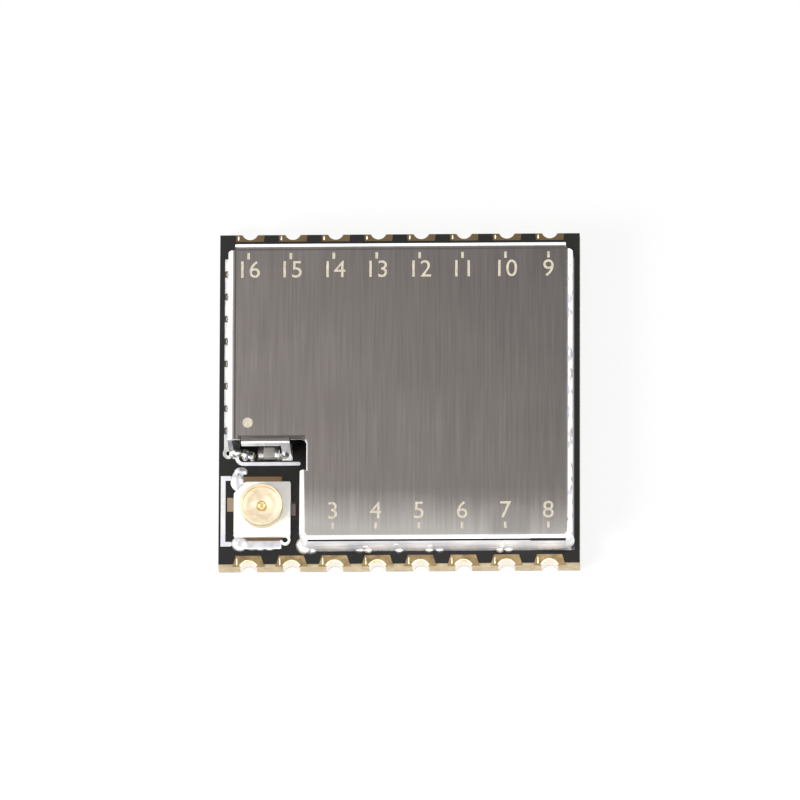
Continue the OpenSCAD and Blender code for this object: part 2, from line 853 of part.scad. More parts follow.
module capacitor_bodies() {
    color("#8f7f73") at_places(capacitor_places) small_body(small_l, small_w, small_h);
}

module capacitor_ends() {
    color("#e8e8e6") at_places(capacitor_places) small_ends(small_l, small_w, small_h);
}

module inductor_bodies() {
    color("#5a5f66") at_places(inductor_places) small_body(small_l, small_w, small_h);
}

module inductor_ends() {
    color("#e8e8e6") at_places(inductor_places) small_ends(small_l, small_w, small_h);
}

module resistor_bodies() {
    color("#232427") at_places(resistor_places) small_body(small_l, small_w, resistor_h);
}

module resistor_ends() {
    color("#e8e8e6") at_places(resistor_places) small_ends(small_l, small_w, resistor_h);
}

board();
solder_mask_top();
solder_mask_bottom();
for (i = [1:contact_count])
    castellation(i);
ground_vias();
shield_land();
component_lands();
receptacle_lands();
printed_marks();
shield_can();
shield_solder();
receptacle_housing();
receptacle_shell();
receptacle_contact();
receptacle_solder();
filter_capacitor_body();
filter_capacitor_ends();
filter_inductor_body();
filter_inductor_ends();
filter_solder();
radio_chip();
radio_chip_leads();
crystal_base();
crystal_cap();
antenna_switch();
antenna_switch_leads();
capacitor_bodies();
capacitor_ends();
inductor_bodies();
inductor_ends();
resistor_bodies();
resistor_ends();
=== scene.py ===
"""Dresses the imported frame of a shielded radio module, and sets up the studio round it."""

import json
import math

import bmesh
import bpy
from mathutils import Matrix, Vector, noise


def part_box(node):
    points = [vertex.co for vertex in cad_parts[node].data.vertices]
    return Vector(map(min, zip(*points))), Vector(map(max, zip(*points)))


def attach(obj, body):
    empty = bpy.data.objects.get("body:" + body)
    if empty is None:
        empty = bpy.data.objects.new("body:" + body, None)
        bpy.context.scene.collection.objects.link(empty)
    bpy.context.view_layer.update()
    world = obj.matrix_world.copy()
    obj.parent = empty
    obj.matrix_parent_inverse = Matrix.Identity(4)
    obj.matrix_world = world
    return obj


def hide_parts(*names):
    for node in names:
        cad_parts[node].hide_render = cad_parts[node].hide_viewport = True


bl_info = {
    "name": "Shielded radio module",
    "version": (1, 0, 0),
    "blender": (4, 5, 0),
    "location": "View3D > Sidebar > Module",
    "description": "Builds the looks of a surface-mount radio module round its packed frame",
    "category": "Object",
}

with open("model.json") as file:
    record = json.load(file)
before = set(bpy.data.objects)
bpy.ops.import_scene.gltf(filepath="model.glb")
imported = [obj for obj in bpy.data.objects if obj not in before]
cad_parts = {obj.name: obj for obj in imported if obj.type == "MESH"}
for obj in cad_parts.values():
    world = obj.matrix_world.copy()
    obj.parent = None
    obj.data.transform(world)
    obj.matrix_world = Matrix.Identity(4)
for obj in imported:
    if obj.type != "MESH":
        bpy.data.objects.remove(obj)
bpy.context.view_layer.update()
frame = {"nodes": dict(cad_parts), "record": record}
MM = 0.001


def low(name):
    """Lowest corner of a CAD node, in millimetres."""
    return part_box(name)[0] / MM


def high(name):
    """Highest corner of a CAD node, in millimetres."""
    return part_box(name)[1] / MM


# Sizes read from the frame

BOARD_TOP = high("board").z + 0.04
CAN_LOW, CAN_HIGH = low("shield_can"), high("shield_can")
JACK = (low("receptacle_shell") + high("receptacle_shell")) / 2
JACK.z = BOARD_TOP
VIAS = [low("ground_vias").y + 0.14 + 1.08 * k for k in range(9)]


# Small tools

def linear(hex_colour):
    """An sRGB hex colour, such as #a0b1c2, as linear RGBA."""
    values = [int(hex_colour[i:i + 2], 16) / 255 for i in (1, 3, 5)]
    return [v / 12.92 if v <= 0.04045 else ((v + 0.055) / 1.055) ** 2.4 for v in values] + [1]


def node(tree, kind, values=None, **settings):
    """Adds a node. values holds what its inputs take: a socket is linked, anything else is set."""
    made = tree.nodes.new("ShaderNode" + kind)
    for key, value in settings.items():
        setattr(made, key, value)
    for key, value in (values or {}).items():
        if isinstance(value, bpy.types.NodeSocket):
            tree.links.new(value, made.inputs[key])
        else:
            made.inputs[key].default_value = value
    return made


def place(tree, size, source="Object"):
    """Coordinates in which a pattern's grain is size millimetres along X, Y and Z."""
    where = node(tree, "TexCoord").outputs[source]
    scale = [1 / (MM * s) for s in size] if source == "Object" else [1 / s for s in size]
    return node(tree, "Mapping", {"Vector": where, "Scale": scale}).outputs[0]


def grain(tree, size, detail=2.0, source="Object", rough=0.5):
    """Soft noise with features of size millimetres along X, Y and Z."""
    return node(tree, "TexNoise", {"Vector": place(tree, size, source), "Scale": 1.0,
                                   "Detail": detail, "Roughness": rough}).outputs[0]


def ramp(tree, factor, stops):
    """A colour ramp. stops holds pairs of a place and a hex colour."""
    made = node(tree, "ValToRGB", {0: factor})
    points = made.color_ramp.elements
    while len(points) < len(stops):
        points.new(0.5)
    for point, (where, colour) in zip(points, stops):
        point.position = where
        point.color = linear(colour)
    return made.outputs[0]


def spread(tree, factor, from_low, from_high, to_low, to_high):
    """Maps a range of values to another."""
    return node(tree, "MapRange", {0: factor, 1: from_low, 2: from_high, 3: to_low,
                                   4: to_high}).outputs[0]


def sums(tree, first, second, operation="ADD"):
    return node(tree, "Math", {0: first, 1: second}, operation=operation).outputs[0]


def relief(tree, height, depth, under=None):
    """Bump of depth millimetres."""
    values = {"Height": height, "Strength": 1.0, "Distance": depth * MM}
    if under is not None:
        values["Normal"] = under
    return node(tree, "Bump", values).outputs[0]


def surface(name, build, **shader):
    """A material whose build function gives the links of its shader as a dict."""
    made = bpy.data.materials.new(name)
    made.use_nodes = True
    tree = made.node_tree
    tree.nodes.clear()
    values = {key.replace("_", " "): value for key, value in shader.items()}
    values.update(build(tree))
    finish = node(tree, "BsdfPrincipled", values)
    node(tree, "OutputMaterial", {"Surface": finish.outputs[0]})
    base = finish.inputs["Base Color"]
    made.diffuse_color = base.default_value
    return made


# Materials

ANY = (-99, 99)


def within(tree, x=ANY, y=ANY, z=ANY, soft=0.05):
    """1 inside a block of space, in millimetres, and 0 outside it, with soft sides."""
    axes = node(tree, "SeparateXYZ", {0: node(tree, "TexCoord").outputs["Object"]}).outputs
    share = 1.0
    for axis, (a, b) in zip(axes, (x, y, z)):
        if a > ANY[0]:
            share = sums(tree, share, spread(tree, axis, (a - soft) * MM, a * MM, 0.0, 1.0),
                         "MULTIPLY")
        if b < ANY[1]:
            share = sums(tree, share, spread(tree, axis, (b + soft) * MM, b * MM, 0.0, 1.0),
                         "MULTIPLY")
    return share


def stained(tree, colour, stain_and_shade, amount=1.0, **block_of_space):
    """The colour, with a tint over the block of space, used for real stains and for painted shade and
    highlight. amount is how far it covers.
    """
    factor = sums(tree, within(tree, **block_of_space), amount, "MULTIPLY")
    return node(tree, "Mix", {0: factor, 6: colour, 7: linear(stain_and_shade)},
                data_type="RGBA").outputs[2]


def sawn_laminate():
    """Glass cloth in epoxy: beige, with paler threads and, on the sawn edge, thin layers."""
    def build(tree):
        threads = grain(tree, (0.35, 0.35, 0.6), 2.0)
        layers = grain(tree, (0.9, 0.9, 0.06), 3.0)
        mixed = sums(tree, sums(tree, threads, 0.5, "MULTIPLY"),
                     sums(tree, layers, 0.5, "MULTIPLY"))
        return {
            "Base Color": ramp(tree, mixed, [(0.3, FINISH.laminate_dark), (0.5, FINISH.laminate),
                                             (0.68, "#cdbc9c")]),
            "Roughness": spread(tree, layers, 0.2, 0.8, 0.5, 0.75),
            "Normal": relief(tree, mixed, 0.006),
        }
    return surface("sawn_glass_epoxy", build, IOR=1.55, Subsurface_Weight=0.1,
                   Subsurface_Scale=0.0003)


def black_solder_mask():
    """Photo-imaged solder mask: a satin black skin that follows the cloth under it."""
    def build(tree):
        cloth = grain(tree, (0.55, 0.55, 0.55), 1.0)
        fine = grain(tree, (0.05, 0.05, 0.05), 2.0)
        tone = grain(tree, (2.4, 3.0, 2.0), 2.0)
        return {
            "Base Color": ramp(tree, tone, [(0.3, FINISH.mask_dark), (0.55, FINISH.mask),
                                            (0.75, FINISH.mask_violet)]),
            "Roughness": spread(tree, fine, 0.3, 0.7, 0.34, 0.5),
            "Normal": relief(tree, sums(tree, cloth, sums(tree, fine, 0.12, "MULTIPLY")), 0.006),
        }
    return surface("black_solder_mask", build, IOR=1.5, Specular_IOR_Level=0.28)


def flash_gold(name="flash_gold_on_nickel", rough=(0.3, 0.46),
               tones=("#7d6a4c", "#97815d", "#ad9670"), stains_and_shade=(), depth=0.006):
    """Immersion gold on nickel: pale, slightly grainy, and duller where it was handled.
    Each tint holds its colour and the block of space it is in; the tints are painted shade and
    painted reflection, and a few real stains."""
    def build(tree):
        crystals = grain(tree, (0.04, 0.04, 0.04), 2.0)
        worn = grain(tree, (0.45, 0.3, 0.4), 3.0)
        colour = ramp(tree, worn, list(zip((0.3, 0.5, 0.7), tones)))
        for stain_and_shade, space in stains_and_shade:
            colour = stained(tree, colour, stain_and_shade, **space)
        return {
            "Base Color": colour,
            "Roughness": spread(tree, worn, 0.3, 0.7, rough[0], rough[1]),
            "Normal": relief(tree, sums(tree, worn, sums(tree, crystals, 0.1, "MULTIPLY")), depth),
        }
    return surface(name, build, Metallic=1.0)


def levelled_tin(name="levelled_tin", stains_and_shade=()):
    """Tin from a bath, levelled by hot air: bright, with soft lumps that sparkle."""
    def build(tree):
        lumps = grain(tree, (0.25, 0.4, 0.25), 1.0)
        fine = grain(tree, (0.07, 0.07, 0.07), 2.0)
        colour = ramp(tree, lumps, [(0.3, "#b9b8b6"), (0.6, "#e6e5e2")])
        for stain_and_shade, space in stains_and_shade:
            colour = stained(tree, colour, stain_and_shade, **space)
        return {
            "Base Color": colour,
            "Roughness": spread(tree, fine, 0.3, 0.7, 0.2, 0.36),
            "Normal": relief(tree, sums(tree, lumps, sums(tree, fine, 0.08, "MULTIPLY")), 0.014),
        }
    return surface(name, build, Metallic=1.0)


def bright_solder(name="bright_solder", rough=(0.3, 0.46), depth=0.008,
                  tones=("#d0cfce", "#f1f0ee"), metal=1.0):
    """Reflowed solder: smooth and bright, with faint frost where it froze last."""
    def build(tree):
        frost = grain(tree, (0.09, 0.09, 0.09), 2.0)
        waves = grain(tree, (0.4, 0.4, 0.4), 1.0)
        return {
            "Base Color": ramp(tree, waves, [(0.3, tones[0]), (0.65, tones[1])]),
            "Roughness": spread(tree, frost, 0.4, 0.75, rough[0], rough[1]),
            "Normal": relief(tree, sums(tree, waves, sums(tree, frost, 0.15, "MULTIPLY")), depth),
        }
    return surface(name, build, Metallic=metal)


def brushed_nickel_silver():
    """Nickel silver sheet. The lid is brushed: fine straight scratches 0.03 to 0.1 mm apart,
    drawn a little coarser so that they show, and painted reflection makes it lighter towards
    the front and the left. The bends and walls have no scratches and are painted paler than
    the lid, as painted highlight, but for a darker line along the fold of the lip."""
    def build(tree):
        fine = grain(tree, (0.09, 4.0, 0.09), 3.0, "UV")
        broad = grain(tree, (0.5, 12.0, 0.5), 2.0, "UV")
        patches = grain(tree, (3.5, 3.0, 3.0), 2.0, "UV")
        x, y, z = node(tree, "SeparateXYZ", {0: node(tree, "TexCoord").outputs["Object"]}).outputs
        # Painted reflection: the lid is lighter towards the left
        left = spread(tree, x, -8 * MM, 8 * MM, 0.32, 0.0)
        # Dents of the die along the right bend
        dents = sums(tree, grain(tree, (0.3, 0.55, 0.3), 2.0), within(tree, x=(CAN_HIGH.x - 0.27, 9), z=(CAN_HIGH.z - 0.3, 9)),
                     "MULTIPLY")
        # Painted reflection: the lid is lighter towards the front, most of all near the front edge
        painted_reflection_front = sums(tree, spread(tree, y, 7 * MM, -5 * MM, 0.02, 0.26),
                    spread(tree, y, -4.8 * MM, -7 * MM, 0.0, 0.6))
        streaks = sums(tree, sums(tree, fine, 0.26, "MULTIPLY"),
                       sums(tree, broad, 0.14, "MULTIPLY"))
        tone = sums(tree, sums(tree, painted_reflection_front, left), sums(tree, streaks, sums(
            tree, patches, 0.2, "MULTIPLY")))
        lid = ramp(tree, sums(tree, tone, 0.8, "MULTIPLY"),
                   [(0.22, FINISH.sheet_dark), (0.61, FINISH.sheet), (1.0, FINISH.sheet_pale)])
        top = CAN_HIGH.z - SIZES.mark_depth
        on_lid = spread(tree, z, (top - 0.05) * MM, (top - 0.012) * MM, 0.0, 1.0)
        # Painted highlight: the walls are painted paler than the lid, the bends, the front wall and
        # the walls of the notch near white, and the lower left, right and rear walls a lighter grey
        painted_highlight_walls = sums(tree, within(tree, x=(-7.35, 7.25), y=(-9, 6.6)), sums(
            tree, within(tree, z=(top - 0.22, 9)),
            within(tree, y=(-9, CAN_LOW.y + 0.2)), "MAXIMUM"), "MAXIMUM")
        walls = node(tree, "Mix", {
            0: painted_highlight_walls, 6: ramp(tree, patches, [(0.3, "#9fa0a4"), (0.7, "#bbbbc0")]),
            7: ramp(tree, patches, [(0.3, "#e4e5ea"), (0.7, "#f9f9fb")])},
            data_type="RGBA").outputs[2]
        both = node(tree, "Mix", {0: on_lid, 6: walls, 7: lid}, data_type="RGBA").outputs[2]
        # Darker along the lip's fold, along the lid's left and rear edges and on the lid towards the
        # front right; painted dark reflection under the front fold, thicker towards the right; and
        # painted highlight on the leg, which took the solder, and on the foot of the lip
        for stain_and_shade, space in (
                ("#57524f", {"x": (-7.4, LEG_X1 + 0.7), "y": (NOTCH.y - 0.2, NOTCH.y + 0.31),
                             "z": (top - 0.09, 9)}),
                ("#1d1b1e", {"x": (NOTCH.x + 0.4, 9), "y": (-9, NOTCH.y - 4.42),
                             "z": (top - 0.31, top - 0.17), "soft": 0.03}),
                ("#1d1b1e", {"x": (6.2, 9), "y": (-9, NOTCH.y - 4.42),
                             "z": (top - 0.4, top - 0.17), "soft": 0.07}),
                ("#8a8683", {"x": (4.5, 5.9), "y": (-6.9, -6.0), "z": (top - 0.01, 9),
                             "soft": 0.35, "amount": 0.6}),
                ("#fbfbfc", {"x": (-9, LEG_X1 + 0.1), "y": (NOTCH.y - 0.2, NOTCH.y + 0.1),
                             "z": (0, top - 0.4)}),
                ("#5b5654", {"x": (-7.6, -7.55), "z": (top - 0.01, 9), "soft": 0.03}),
                ("#5b5654", {"y": (6.66, 6.7), "z": (top - 0.01, 9), "soft": 0.03})):
            both = stained(tree, both, stain_and_shade, **space)
        # Painted reflection: grey patches that break up the highlight of the right bend; and flux
        # that ran along the front wall
        broken_highlight = spread(tree, grain(tree, (0.25, 0.5, 0.25), 2.0), 0.52, 0.6, 0.0, 0.75)
        both = stained(tree, both, "#77767a", broken_highlight, x=(CAN_HIGH.x - 0.27, 9), y=(-6.4, 6.4),
                       z=(top - 0.28, 9))
        flux = spread(tree, grain(tree, (1.5, 0.5, 0.35), 2.0), 0.45, 0.7, 0.0, 0.3)
        both = stained(tree, both, "#85838a", flux, y=(-9, CAN_LOW.y + 0.15), z=(0, top - 0.45))
        return {
            "Base Color": both,
            "Roughness": sums(tree, spread(tree, fine, 0.25, 0.75, 0.3, 0.42),
                              spread(tree, on_lid, 0, 1, 0.16, 0.0)),
            "Normal": relief(tree, sums(tree, sums(tree, sums(tree, fine, broad), on_lid, "MULTIPLY"),
                                        sums(tree, dents, 9.0, "MULTIPLY")), 0.0009),
        }
    return surface("brushed_nickel_silver", build, Metallic=1.0)


def moulded(name, dark, pale, rough, size=0.12, depth=0.002, **shader):
    """A moulded resin or a fired body: matt, with a fine even skin."""
    def build(tree):
        skin = grain(tree, (size, size, size), 3.0)
        tone = grain(tree, (0.8, 0.8, 0.5), 2.0)
        return {
            "Base Color": ramp(tree, tone, [(0.3, dark), (0.7, pale)]),
            "Roughness": spread(tree, skin, 0.3, 0.7, rough - 0.08, rough + 0.08),
            "Normal": relief(tree, skin, depth),
        }
    return surface(name, build, **shader)


def white_ink():
    """Screen-printed epoxy ink: opaque white."""
    return moulded("white_marking_ink", "#d4d5dc", "#e4e5e9", 0.55, 0.08, 0.003, IOR=1.5)


def laser_mark():
    """Laser-marked metal: a pale cream frost with the brush lines still in it."""
    def build(tree):
        frost = grain(tree, (0.05, 0.3, 0.05), 3.0)
        return {
            "Base Color": ramp(tree, frost, [(0.3, "#a9a18f"), (0.65, "#cfc7b4")]),
            "Roughness": spread(tree, frost, 0.3, 0.7, 0.5, 0.7),
            "Normal": relief(tree, frost, 0.002),
        }
    return surface("laser_frosted_metal", build, Metallic=0.35)


# Pieces in mesh code

def shade(mesh, angle=40):
    for polygon in mesh.polygons:
        polygon.use_smooth = True
    mesh.set_sharp_from_angle(angle=math.radians(angle))


def piece(bm, name, material, replaced=(), angle=40, weighted=True):
    """Turns a bmesh in millimetres into a piece of the module that rides on its body."""
    bmesh.ops.scale(bm, vec=(MM, MM, MM), verts=bm.verts)
    mesh = bpy.data.meshes.new(name)
    bm.to_mesh(mesh)
    bm.free()
    shade(mesh, angle)
    made = bpy.data.objects.new(name, mesh)
    bpy.context.scene.collection.objects.link(made)
    mesh.materials.append(material)
    if weighted:
        even = made.modifiers.new("even_normals", "WEIGHTED_NORMAL")
        even.keep_sharp = True
    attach(made, "root")
    if replaced:
        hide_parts(*replaced)
    return made


def bevel(bm, edges, width, segments=2):
    bmesh.ops.bevel(bm, geom=list(edges), offset=width, offset_type="OFFSET", affect="EDGES",
                    segments=segments, profile=0.5, material=-1, clamp_overlap=True)


def sharp_edges(bm, verts=None, angle=50):
    """Edges whose two faces turn by more than angle degrees."""
    among = set(verts) if verts is not None else None
    return [e for e in bm.edges if len(e.link_faces) == 2
            and e.calc_face_angle(0) > math.radians(angle)
            and (among is None or (e.verts[0] in among and e.verts[1] in among))]


def block(bm, centre, size, width=0.0, segments=2, turn=0.0):
    """A box with rolled edges. centre is the middle of its underside."""
    made = bmesh.ops.create_cube(bm, size=1.0)["verts"]
    bmesh.ops.scale(bm, vec=size, verts=made)
    bmesh.ops.rotate(bm, cent=(0, 0, 0), matrix=Matrix.Rotation(math.radians(turn), 3, "Z"),
                     verts=made)
    bmesh.ops.translate(bm, vec=(centre[0], centre[1], centre[2] + size[2] / 2), verts=made)
    if width:
        bevel(bm, sharp_edges(bm, made), width, segments)


def turned(bm, centre, profile, steps=64, sweep=360.0, start=0.0):
    """A shape turned on the lathe. profile holds pairs of radius and height, and is closed.
    A part turn starts at start degrees from +X and has its ends closed."""
    c, s = math.cos(math.radians(start)), math.sin(math.radians(start))
    ring = [bm.verts.new((centre[0] + r * c, centre[1] + r * s, centre[2] + z))
            for r, z in profile]
    edges = [bm.edges.new((a, b)) for a, b in zip(ring, ring[1:] + ring[:1])]
    if sweep != 360:
        bm.faces.new(ring)
        edges = [e for e in bm.edges if e.verts[0] in ring and e.verts[1] in ring]
    last = bmesh.ops.spin(bm, geom=ring + edges, cent=centre, axis=(0, 0, 1),
                          angle=math.radians(sweep), steps=steps,
                          use_merge=sweep == 360)["geom_last"]
    if sweep != 360:
        bmesh.ops.contextual_create(bm, geom=[g for g in last
                                              if isinstance(g, bmesh.types.BMEdge)])


def solder_drop(bm, centre, radii, seed, rough=0.12):
    """A drop that has wetted the land: a lumpy dome, cut off at the board."""
    made = bmesh.ops.create_icosphere(bm, subdivisions=4, radius=1.0)["verts"]
    for v in made:
        bulge = noise.noise(v.co * 0.9 + Vector((seed * 3.1, seed, 0.5)))
        v.co *= 1 + rough * 1.6 * bulge
    bmesh.ops.scale(bm, vec=radii, verts=made)
    bmesh.ops.translate(bm, vec=(centre[0], centre[1], BOARD_TOP + centre[2] + 0.004), verts=made)
    faces = {f for v in made for f in v.link_faces}
    edges = {e for v in made for e in v.link_edges}
    cut = bmesh.ops.bisect_plane(bm, geom=list(made) + list(edges) + list(faces),
                                 plane_co=(0, 0, BOARD_TOP), plane_no=(0, 0, 1),
                                 clear_inner=True)["geom_cut"]
    rim = [g for g in cut if isinstance(g, bmesh.types.BMEdge)]
    if rim:
        bmesh.ops.holes_fill(bm, edges=rim, sides=0)


def solder_fillet(bm, start, end, side, reach, rise, seed, gaps=()):
    """A hollow fillet from the land up a wall, with a scalloped outline. side points away
    from the wall. It draws back from the places along Y in gaps."""
    start, end, side = Vector(start), Vector(end), Vector(side)
    run = end - start
    steps = max(8, int(run.length / 0.05))
    made = bmesh.ops.create_grid(bm, x_segments=steps, y_segments=6, size=0.5)["verts"]
    for v in made:
        along, across = v.co.x + 0.5, v.co.y + 0.5
        spot = start + run * along
        lump = 0.9 + 0.4 * noise.noise(Vector((along * run.length * 1.7, seed, 0)))
        fade = min(1, 25 * along, 6 * (1 - along)) ** 0.5
        gap = sum(math.exp(-((spot.y - place) / 0.15) ** 2) for place in gaps)
        out = across * reach * lump * fade * (1 - 0.85 * gap)
        up = (1 - across) ** 2 * rise * lump * fade * (1 - 0.5 * gap)
        spot += side * out
        v.co = (spot.x, spot.y, BOARD_TOP + up + 0.003)
    under = bmesh.ops.extrude_face_region(bm, geom=list({f for v in made for f in v.link_faces}))
    for v in under["geom"]:
        if isinstance(v, bmesh.types.BMVert):
            v.co.z = BOARD_TOP


# Shield can

def fold_down(bm, verts, drop, part=None):
    """Pulls a wall down from the fold between two vertices. part is not used."""
    edge = bm.edges.get(verts)
    low_edge = bmesh.ops.extrude_edge_only(bm, edges=[edge])["geom"]
    moved = [g for g in low_edge if isinstance(g, bmesh.types.BMVert)]
    bmesh.ops.translate(bm, vec=(0, 0, -drop), verts=moved)
    return moved


class ModuleFinish(bpy.types.PropertyGroup):
    """Colours of the module's finishes, as sRGB hex values."""

    # The lid runs from sheet_dark to sheet_pale over its brushed grain and over its painted
    # reflection, which is lighter towards the front and the left
    sheet: bpy.props.StringProperty(name="Sheet", description="Brushed shield sheet",
                                    default="#7c7673")
    sheet_dark: bpy.props.StringProperty(name="Sheet, dark grain",
                                         description="Dark end of the brushed grain",
                                         default="#605b59")
    sheet_pale: bpy.props.StringProperty(name="Sheet, pale grain",
                                         description="Pale end of the brushed grain",
                                         default="#aaa6a2")
    mask: bpy.props.StringProperty(name="Solder mask", description="Black solder mask",
                                   default="#161512")
    mask_dark: bpy.props.StringProperty(name="Solder mask, dark",
                                        description="Darkest tone of the mask",
                                        default="#0f0e0c")
    mask_violet: bpy.props.StringProperty(name="Solder mask, violet",
                                          description="Violet tone of the mask",
                                          default="#1f1a1e")
    laminate: bpy.props.StringProperty(name="Laminate", description="Glass and resin core",
                                       default="#b9a683")
    laminate_dark: bpy.props.StringProperty(name="Laminate, dark",
                                            description="Darker layers of the core",
                                            default="#a28d6c")


class ModuleSizes(bpy.types.PropertyGroup):
    """Sizes of the looks, in millimetres."""

    sheet_thickness: bpy.props.FloatProperty(name="Sheet thickness", default=0.2, min=0.1,
                                             max=0.25, description="Thickness of the can's sheet, mm")
    bend_radius: bpy.props.FloatProperty(name="Bend radius", default=0.22, min=0.12, max=0.3,
                                         description="Radius of the folds at mid thickness, mm")
    rolled_edge: bpy.props.FloatProperty(name="Rolled edge", default=0.018, min=0.005, max=0.05,
                                         description="Roll-over of the sheared edges, mm")
    mark_height: bpy.props.FloatProperty(name="Number height", default=0.85, min=0.4, max=1.5,
                                         description="Height of the contact numbers, mm")
    mark_depth: bpy.props.FloatProperty(name="Mark depth", default=0.004, min=0.002, max=0.01,
                                        description="Thickness of the lid's marks, mm")


class StudioLight(bpy.types.PropertyGroup):
    """Strengths of the studio, where 1 is paper white."""

    world: bpy.props.FloatProperty(name="Surround", default=0.6, min=0, max=2,
                                   description="Strength of the surround on matt surfaces")
    sides: bpy.props.FloatProperty(name="Side panels", default=2.6, min=0, max=12,
                                   description="Radiance of the left and right panels")
    front: bpy.props.FloatProperty(name="Front panel", default=2.6, min=0, max=12,
                                   description="Radiance of the front panel")
    rear: bpy.props.FloatProperty(name="Rear panel", default=2.6, min=0, max=12,
                                  description="Radiance of the rear panel")


def can_outline(t):
    """Flat outline of the can at mid thickness, counted anticlockwise, with the folds as pairs
    of points and the kind of wall."""
    bend = 0.12 + t
    x0, x1 = CAN_LOW.x + bend, CAN_HIGH.x - bend
    y0, y1 = CAN_LOW.y + bend, CAN_HIGH.y - bend
    left, right = CAN_LOW.x + t / 2, CAN_HIGH.x - t / 2
    front, rear = CAN_LOW.y + t / 2, CAN_HIGH.y - t / 2
    nx, ny = NOTCH.x + bend, NOTCH.y + bend
    side, lip = NOTCH.x + t / 2, NOTCH.y + t / 2
    e, slit, slant = 0.008, 0.03, 0.08
    edge_y = ny - 0.15
    relief_r = 0.26
    cx, cy = nx - relief_r, edge_y - relief_r
    arc = [(cx + relief_r * math.sin(a), cy + relief_r * math.cos(a))
           for a in [math.radians(d) for d in range(0, 91, 15)]]
    points = [
        (side, WALL_END), (side, y0 + e), (nx + e, y0 + e), (nx + e, front),
        (x1 - e, front), (x1 - e, y0 + e), (right, y0 + e), (right, y1 - e - slant),
        (x1 - e, y1 - e), (x1 - e, rear), (x0 + e, rear), (x0 + e, y1 - e),
        (left, y1 - e - slant), (left, edge_y), (LIP_X0 - slit, edge_y), (LIP_X0 - slit, ny + 0.01),
        (LIP_X0, ny + 0.01), (LIP_X0, lip), (LEG_X1, lip), (LEG_X1, ny + 0.01),
        (LEG_X1 + slit, ny + 0.01), (LEG_X1 + slit, edge_y),
    ] + arc + [(nx, WALL_END + 0.02), (nx + e, WALL_END)]
    folds = {"side": (0, 1), "front": (3, 4), "right": (6, 7), "rear": (9, 10),
             "left": (12, 13), "lip": (17, 18)}
    return points, folds


NOTCH = Vector((-4.56, -2.6))
WALL_END = -3.92
LIP_X0, LEG_X0, LEG_X1 = -7.28, -5.45, -5.03
LIP_DROP = 0.68


def split_edge(bm, edge, share):
    """Splits an edge at a share of its length from its lower X end, and gives the new vertex."""
    a = min(edge.verts, key=lambda v: v.co.x)
    return bmesh.utils.edge_split(edge, a, share)[1]


